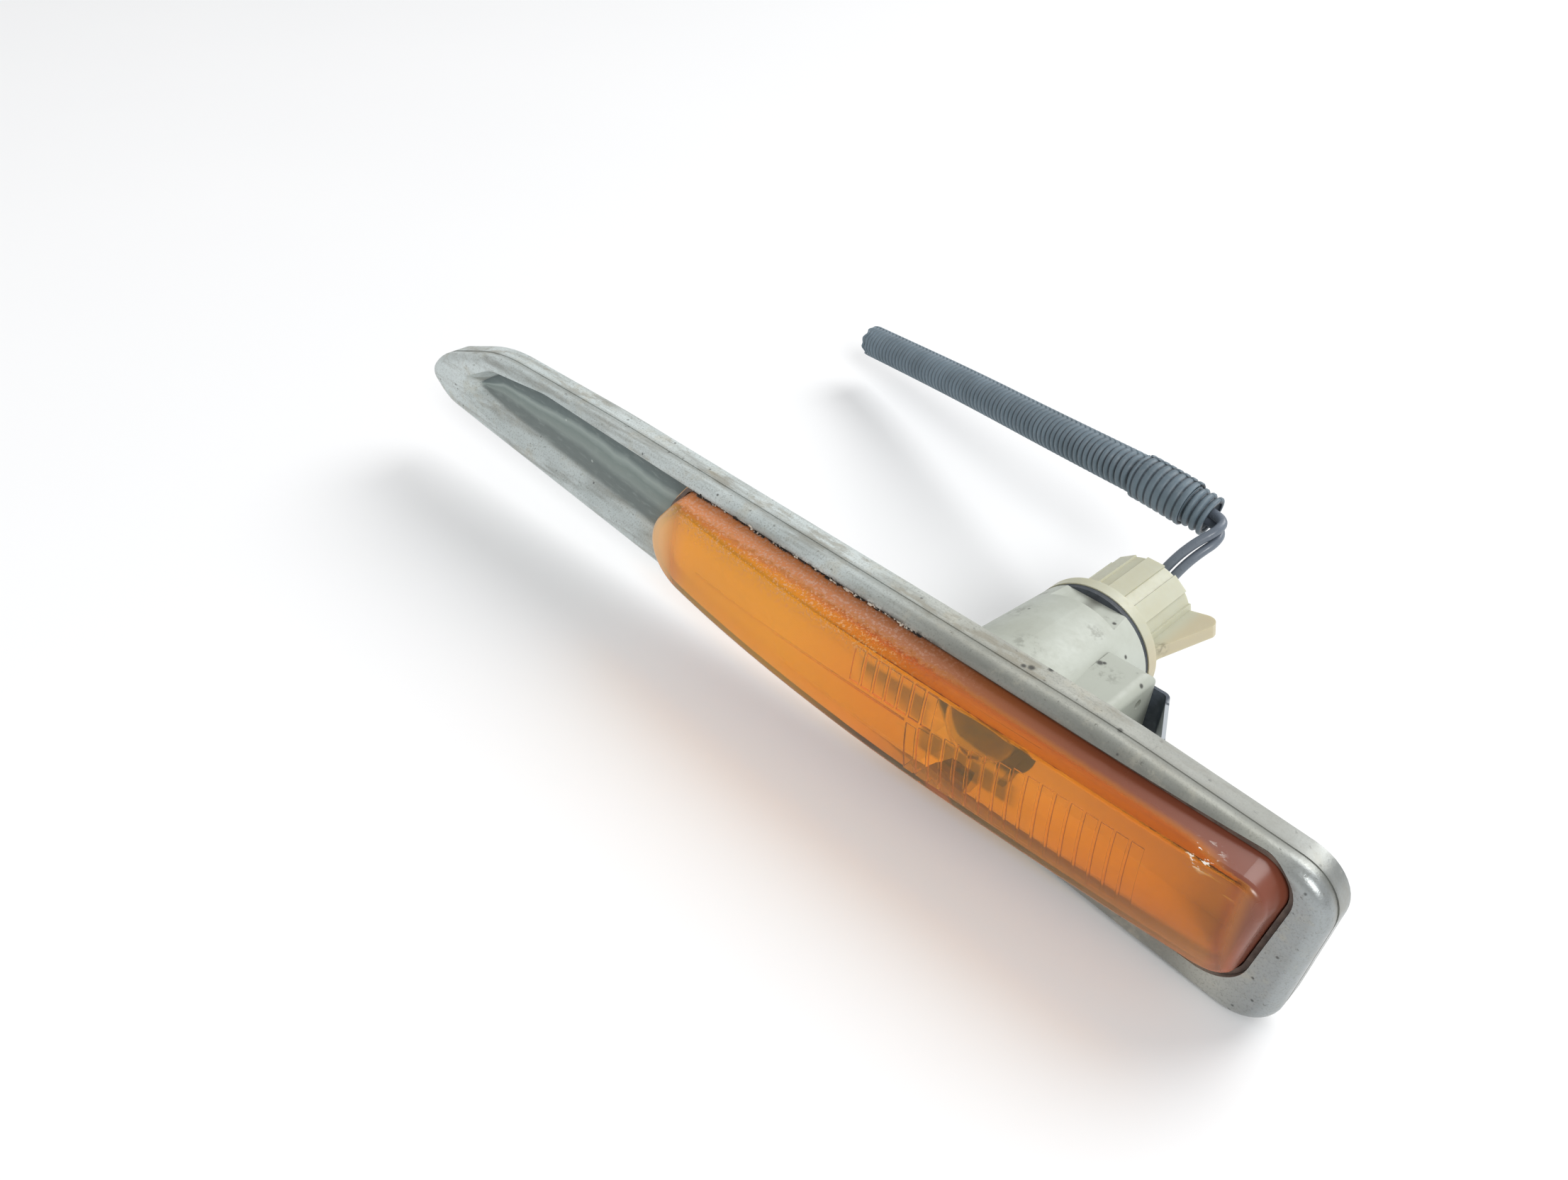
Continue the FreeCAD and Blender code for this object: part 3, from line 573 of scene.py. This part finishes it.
def aged_nylon():
    m = Nodes("aged_nylon")
    cloud = m.noise(70.0, 5.0, 0.6)
    fine = m.noise(800.0, 3.0, 0.6)
    base = m.mix(m.band(cloud, 0.3, 0.7), linear(188, 189, 170), linear(183, 181, 157))
    wing = m.band(m.axis("X"), 0.0715, 0.0760)
    base = m.over(base, wing, 0.8, linear(192, 180, 150))
    smear = m.times(m.spots(NYLON_SMUDGES), m.band(m.noise(500.0, 5.0, 0.7), 0.42, 0.58))
    base = m.over(base, smear, 0.6, linear(118, 112, 92))
    # Painted shade: the holder is darker in its corners.
    m.set(Base_Color=m.over(base, m.corners(0.003, 0.80, 0.40), 0.3, linear(160, 154, 128)))
    m.set(Subsurface_Weight=0.25, Subsurface_Radius=(0.0025, 0.0022, 0.0014), Subsurface_Scale=1.0)
    m.set(Roughness=m.band(fine, 0.3, 0.7, 0.34, 0.48))
    m.bump(fine, 0.00005, 0.3)
    return m.material


def black_seal():
    m = Nodes("black_seal")
    cloud = m.band(m.noise(260.0, 4.0, 0.65), 0.35, 0.7)
    fine = m.noise(1800.0, 3.0, 0.65)
    rear = m.mix(cloud, linear(66, 72, 79), linear(50, 55, 61))
    # Painted shade: the seal's front, beside the lens, is warm grey-brown for the soft shade in the
    # gap.
    front = m.mix(cloud, linear(112, 97, 87), linear(80, 69, 62))
    base = m.mix(m.band(m.axis("Y"), -0.002, 0.002), front, rear)
    m.set(Base_Color=m.mix(m.band(fine, 0.62, 0.72), base, linear(112, 106, 98)))
    m.set(Roughness=m.band(fine, 0.3, 0.7, 0.52, 0.70))
    m.bump(fine, 0.00006, 0.4)
    return m.material


def crumb_dirt():
    m = Nodes("crumb_dirt")
    patch = m.noise(500.0, 3.0, 0.6)
    fine = m.noise(4000.0, 3.0, 0.65)
    base = m.mix(m.band(patch, 0.50, 0.56), linear(26, 24, 22), linear(206, 199, 186))
    m.set(Base_Color=m.mix(m.band(fine, 0.55, 0.75), base, linear(92, 80, 66)))
    m.set(Roughness=m.band(fine, 0.3, 0.7, 0.75, 0.95))
    m.bump(fine, 0.00005, 0.6)
    return m.material


def spring_steel():
    m = Nodes("spring_steel")
    cloud = m.noise(300.0, 4.0, 0.65)
    # Lighter, half-metallic patches on the splayed leaf.
    leaf_patch = m.times(m.band(m.axis("X"), 0.0862, 0.0872), m.band(cloud, 0.30, 0.42))
    base = m.mix(m.band(cloud, 0.4, 0.75), linear(54, 62, 73), linear(76, 83, 94))
    m.set(Base_Color=m.mix(leaf_patch, base, linear(168, 173, 178)))
    m.set(Metallic=m.times(leaf_patch, 0.5))
    m.set(Roughness=m.band(cloud, 0.3, 0.7, 0.36, 0.52))
    return m.material


def conduit_plastic():
    m = Nodes("conduit_plastic")
    rib = m.add("ShaderNodeAttribute", attribute_name="rib").outputs["Fac"]
    cloud = m.noise(90.0, 5.0, 0.6)
    fine = m.noise(1400.0, 3.0, 0.6)
    base = m.mix(m.band(cloud, 0.3, 0.7), linear(106, 122, 133), linear(92, 107, 117))
    # Painted shade: darker in the grooves between the ridges.
    base = m.mix(m.band(rib, 0.50, 0.02), base, linear(48, 58, 67))
    dust = m.times(m.band(m.facing("Z"), 0.2, 0.9), m.band(fine, 0.45, 0.7))
    m.set(Base_Color=m.over(base, dust, 0.35, linear(128, 136, 140)))
    m.set(Roughness=m.band(fine, 0.3, 0.7, 0.42, 0.60))
    m.bump(fine, 0.00005, 0.4)
    return m.material


def plain_plastic(name, colour, dark, rough):
    m = Nodes(name)
    cloud = m.noise(55.0, 5.0, 0.6)
    fine = m.noise(700.0, 3.0, 0.6)
    base = m.mix(m.band(cloud, 0.35, 0.75), colour, dark)
    # Painted shade: darker in the corners.
    m.set(Base_Color=m.over(base, m.corners(0.004, 0.85, 0.45), 0.6, dark))
    m.set(Roughness=m.band(fine, 0.3, 0.7, rough - 0.08, rough + 0.08))
    m.bump(fine, 0.00008, 0.4)
    return m.material


def metal(name, colour, dark, rough):
    m = Nodes(name)
    cloud = m.noise(160.0, 4.0, 0.6)
    m.set(Base_Color=m.mix(m.band(cloud, 0.3, 0.7), colour, dark))
    m.set(Metallic=1.0)
    m.set(Roughness=m.band(cloud, 0.3, 0.7, rough - 0.08, rough + 0.1))
    return m.material


def clear_glass():
    m = Nodes("clear_glass")
    m.set(Base_Color=(0.93, 0.95, 0.95, 1.0), IOR=GLASS_IOR, Transmission_Weight=1.0)
    m.set(Roughness=m.band(m.noise(120.0, 3.0), 0.3, 0.7, 0.01, 0.06))
    m.lamps_through((0.95, 0.96, 0.96, 1.0))
    return m.material


paint = {
    "bezel_plating": bezel_plating(),
    "amber_lens": amber_lens(),
    "black_seal": black_seal(),
    "grey_housing": grey_housing(),
    "spring_steel": spring_steel(),
    "aged_nylon": aged_nylon(),
    "brass_contacts": metal("brass_contacts", linear(200, 165, 95), linear(165, 130, 75), 0.35),
    "bulb_brass": metal("bulb_brass", linear(200, 170, 105), linear(160, 130, 80), 0.35),
    "cap_glass": plain_plastic("cap_glass", linear(40, 40, 44), linear(26, 26, 30), 0.3),
    "solder": metal("solder", linear(190, 190, 188), linear(150, 150, 150), 0.45),
    "clear_glass": clear_glass(),
    "support_wire": metal("support_wire", linear(170, 170, 172), linear(130, 130, 132), 0.3),
    "filament": metal("filament", linear(120, 120, 124), linear(90, 90, 94), 0.4),
    "wire_sheath": plain_plastic("wire_sheath", linear(110, 119, 130), linear(90, 98, 110), 0.32),
    "conduit_plastic": conduit_plastic(),
}

for part in frame["record"]["subparts"]:
    body = nodes[part["node"]]
    body.data.materials.clear()
    body.data.materials.append(paint[part["material_slot"]])


# Lead

RIDGE_STEPS = 8
AROUND_STEPS = 48
RIDGE_STEEPNESS = 1.5
RIDGE_SHIFT = 0.5
JAG_REACH = 3
JAG_SCALE = 2.2
JAG_SLICE = 4.0
JAG_MEAN = 0.5
SPLIT_SIDE = (0.3, 0.2, 1.0)
END_MARGIN_M = 1e-6


def route_curve(name, points, width):
    """Smooth line through a route, as one open spline."""
    data = bpy.data.curves.new(name, "CURVE")
    data.dimensions = "3D"
    spline = data.splines.new("NURBS")
    spline.points.add(len(points) - 1)
    for point, at in zip(spline.points, points):
        point.co = (*(Vector(at) * MM), 1.0)
    spline.order_u = 3
    spline.use_endpoint_u = True
    spline.resolution_u = 24
    data.bevel_depth = width * MM / 2
    data.bevel_resolution = 5
    data.use_fill_caps = True
    curve = bpy.data.objects.new(name, data)
    scene.collection.objects.link(curve)
    return curve


def wire_points(side):
    """One wire beside the lead's course, turning over towards the conduit."""
    course = HOLDER_POINTS + LEAD_POINTS + CONDUIT_POINTS
    reach = side * WIRE_SPREAD / 2
    moved = []
    for i, at in enumerate(course):
        angle = math.pi / 2 * min(max(i - 1, 0) / len(LEAD_POINTS), 1.0)
        moved.append(Vector(at) + Vector((math.cos(angle), 0, -math.sin(angle))) * reach)
    return moved


def line_points(curve):
    """Points along a curve, as its spline gives them."""
    width = curve.data.bevel_depth
    curve.data.bevel_depth = 0.0
    bpy.context.view_layer.update()
    mesh = bpy.data.meshes.new_from_object(curve)
    points = [v.co.copy() for v in mesh.vertices]
    bpy.data.meshes.remove(mesh)
    curve.data.bevel_depth = width
    return points


def running_lengths(line):
    """How far each point lies from the start of a line."""
    lengths = [0.0]
    for a, b in zip(line, line[1:]):
        lengths.append(lengths[-1] + (b - a).length)
    return lengths


def place_on(line, lengths, distance):
    """The point at a distance along a line, and the line's direction there."""
    after = bisect_right(lengths, distance)
    before = after - 1
    part_way = (distance - lengths[before]) / (lengths[after] - lengths[before])
    return line[before].lerp(line[after], part_way), (line[after] - line[before]).normalized()


def sheath_faces(rings):
    """Faces of a split tube, whose rings come in pairs of outer and inner."""
    faces = []
    for out_a, in_a, out_b, in_b in zip(rings[0::2], rings[1::2], rings[2::2], rings[3::2]):
        for j in range(AROUND_STEPS):
            faces.append((out_a[j], out_a[j + 1], out_b[j + 1], out_b[j]))
            faces.append((in_a[j + 1], in_a[j], in_b[j], in_b[j + 1]))
        faces.append((in_a[0], out_a[0], out_b[0], in_b[0]))
        faces.append((out_a[-1], in_a[-1], in_b[-1], out_b[-1]))
    for (outer, inner), flip in ((rings[:2], False), (rings[-2:], True)):
        for j in range(AROUND_STEPS):
            quad = (outer[j + 1], outer[j], inner[j], inner[j + 1])
            faces.append(quad[::-1] if flip else quad)
    return faces


def sheath_mesh(name, line, first, last, outer, rise, wall, split, jag):
    """Ribbed split tube along part of a line, ragged at its far end."""
    lengths = running_lengths(line)
    last = min(last, lengths[-1] - END_MARGIN_M)
    step = RIDGE_PITCH * MM / RIDGE_STEPS
    count = int((last - first) / step)
    span = 2 * math.pi - split
    jagged = jag * JAG_REACH
    side = Vector(SPLIT_SIDE)
    verts, heights, rings = [], [], []
    for i in range(count + 1):
        distance = first + (last - first) * i / count
        centre, ahead = place_on(line, lengths, distance)
        side = (side - ahead * side.dot(ahead)).normalized()
        across = ahead.cross(side)
        wave = math.sin(2 * math.pi * distance / (RIDGE_PITCH * MM))
        ridge = rise * (max(min(wave * RIDGE_STEEPNESS + RIDGE_SHIFT, 1.0), -1.0) - 1.0) / 2.0
        from_end = last - distance
        for layer in (0, 1):
            radius = outer + ridge - layer * wall
            ring = []
            for j in range(AROUND_STEPS + 1):
                angle = split / 2 + span * j / AROUND_STEPS
                right, up = math.cos(angle), math.sin(angle)
                spot = centre + (side * right + across * up) * radius
                if from_end < jagged:
                    bite = noise.noise((right * JAG_SCALE, up * JAG_SCALE, JAG_SLICE))
                    pull = max(0.0, JAG_MEAN + bite) * jag
                    spot -= ahead * pull * (1.0 - from_end / jagged)
                ring.append(len(verts))
                verts.append(spot)
                heights.append(1.0 + ridge / rise - layer)
            rings.append(ring)
    mesh = bpy.data.meshes.new(name)
    mesh.from_pydata(verts, [], sheath_faces(rings))
    mesh.polygons.foreach_set("use_smooth", [True] * len(mesh.polygons))
    mesh.attributes.new("rib", "FLOAT", "POINT").data.foreach_set("value", heights)
    piece = bpy.data.objects.new(name, mesh)
    scene.collection.objects.link(piece)
    return piece


for name, node, side, length in (
    ("lead_wire_a", "wire_a", 1, WIRE_A_LENGTH),
    ("lead_wire_b", "wire_b", -1, WIRE_B_LENGTH),
):
    points = wire_points(side)
    wire = route_curve(name, points, WIRE_D)
    wire.data.materials.append(paint["wire_sheath"])
    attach(wire, "root")
    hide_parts(node)

guide = route_curve("guide", CONDUIT_POINTS, CONDUIT_D)
conduit_line = line_points(guide)
bpy.data.objects.remove(guide)
conduit = sheath_mesh(
    "lead_conduit", conduit_line, 0.0, running_lengths(conduit_line)[-1], CONDUIT_D / 2 * MM,
    RIDGE_RISE * MM, CONDUIT_WALL * MM, CONDUIT_SPLIT, CONDUIT_JAG * MM,
)
wrap = sheath_mesh(
    "lead_wrap", conduit_line, WRAP_FROM * MM, (WRAP_FROM + WRAP_LEN) * MM,
    (CONDUIT_D / 2 + WRAP_WALL) * MM, WRAP_RISE * MM, WRAP_WALL * MM * WRAP_SKIN_SHARE,
    WRAP_SPLIT, WRAP_JAG * MM,
)
for piece, node in ((conduit, "conduit"), (wrap, "conduit_wrap")):
    piece.data.materials.append(paint["conduit_plastic"])
    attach(piece, "root")
    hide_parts(node)


# Grit caught in the gap above the lens, with sizes in millimetres

GRIT_SEED = 11
GRIT_COUNT = 190
GRIT_FROM, GRIT_TO = -26.0, 46.0
GRIT_Y = -8.5
GRIT_SIZE = (0.14, 0.44)
GRIT_HEIGHT = (0.3, 1.3)
GRIT_LENGTHENED = (0.8, 2.2)
GRIT_FLATTENED = (0.6, 1.1)
GRIT_SUNK = 0.3
LUMP_DEPTH = 0.35
LUMP_WIDTH = 0.25
LENS_TOP_FROM = (-27.5, 19.3)
LENS_TOP_TO = (130.6, 18.2)

chance = random.Random(GRIT_SEED)
grit_mesh = bmesh.new()
top_slope = (LENS_TOP_TO[1] - LENS_TOP_FROM[1]) / (LENS_TOP_TO[0] - LENS_TOP_FROM[0])
for i in range(GRIT_COUNT):
    x = chance.uniform(GRIT_FROM, GRIT_TO)
    size = chance.uniform(*GRIT_SIZE)
    z = LENS_TOP_FROM[1] + top_slope * (x - LENS_TOP_FROM[0]) + chance.uniform(*GRIT_HEIGHT)
    longer = chance.uniform(*GRIT_LENGTHENED)
    flatter = chance.uniform(*GRIT_FLATTENED)
    shape = Matrix.Diagonal((longer, 1.0, flatter, 1.0))
    lump = bmesh.ops.create_icosphere(grit_mesh, subdivisions=2, radius=size * MM)["verts"]
    for v in lump:
        v.co *= 1.0 + LUMP_DEPTH * noise.noise(v.co / (LUMP_WIDTH * MM) + Vector((i, 0, 0)))
        v.co = shape @ v.co + Vector((x, GRIT_Y - GRIT_SUNK * size, z)) * MM
grit_data = bpy.data.meshes.new("gap_grit")
grit_mesh.to_mesh(grit_data)
grit_mesh.free()
grit = bpy.data.objects.new("gap_grit", grit_data)
scene.collection.objects.link(grit)
grit.data.materials.append(crumb_dirt())
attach(grit, "root")


# Floor and light, in metres

FLOOR_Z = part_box("bezel")[0].z
FLOOR_SIZE = 4.0
LIGHT_AIM = (0.0, 0.02, 0.0)
SKY_STRENGTH = 0.57


def pale_floor():
    m = Nodes("pale_floor")
    cloud = m.noise(6.0, 3.0)
    m.set(Base_Color=m.mix(cloud, (0.87, 0.875, 0.885), (0.89, 0.895, 0.90)), Roughness=0.6)
    return m.material


bpy.ops.mesh.primitive_plane_add(size=FLOOR_SIZE, location=(0, 0, FLOOR_Z))
floor = bpy.context.object
floor.name = "floor"
floor.data.materials.append(pale_floor())


def area_light(name, at, size, power):
    data = bpy.data.lights.new(name, "AREA")
    data.shape = "DISK"
    data.size = size
    data.energy = power
    lamp = bpy.data.objects.new(name, data)
    lamp.location = at
    lamp.rotation_euler = (Vector(LIGHT_AIM) - Vector(at)).to_track_quat("-Z", "Y").to_euler()
    scene.collection.objects.link(lamp)


area_light("window", at=(0.55, 1.75, 2.00), size=1.9, power=44.0)
area_light("lamp", at=(1.95, -1.35, 1.80), size=1.0, power=36.0)

world = bpy.data.worlds.new("world")
scene.world = world
world.use_nodes = True
sky = world.node_tree.nodes["Background"]
sky.inputs["Color"].default_value = (1.0, 1.0, 1.0, 1.0)
sky.inputs["Strength"].default_value = SKY_STRENGTH
